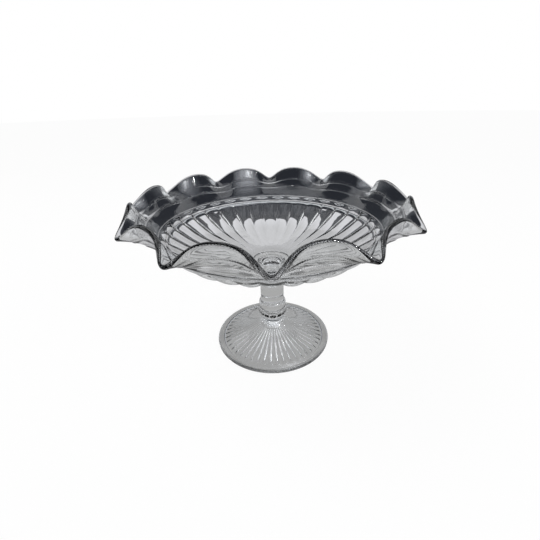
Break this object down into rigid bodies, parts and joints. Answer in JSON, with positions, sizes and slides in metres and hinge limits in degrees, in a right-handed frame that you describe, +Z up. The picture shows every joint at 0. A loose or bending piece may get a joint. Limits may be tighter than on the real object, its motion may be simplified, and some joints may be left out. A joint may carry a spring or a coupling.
{
  "type": "footed compote bowl",
  "caption": "Clear pressed-glass compote with a crimped, ruffled rim, a fluted round well, a plain stem with ringed collar and a ribbed domed foot.",
  "frame": {"origin": "on the axis of the stem, in the plane the foot rests on", "axes": "+Z up the stem towards the bowl; -Y the front, where a valley of the crimped rim faces"},
  "size_m": [0.2214, 0.2214, 0.1338],
  "materials": {
    "clear_glass": "polished"
  },
  "bodies": {
    "root": {"foot": "clear_glass", "stem_collar": "clear_glass", "stem": "clear_glass", "upper_collar": "clear_glass", "bowl": "clear_glass"}
  },
  "joints": []
}
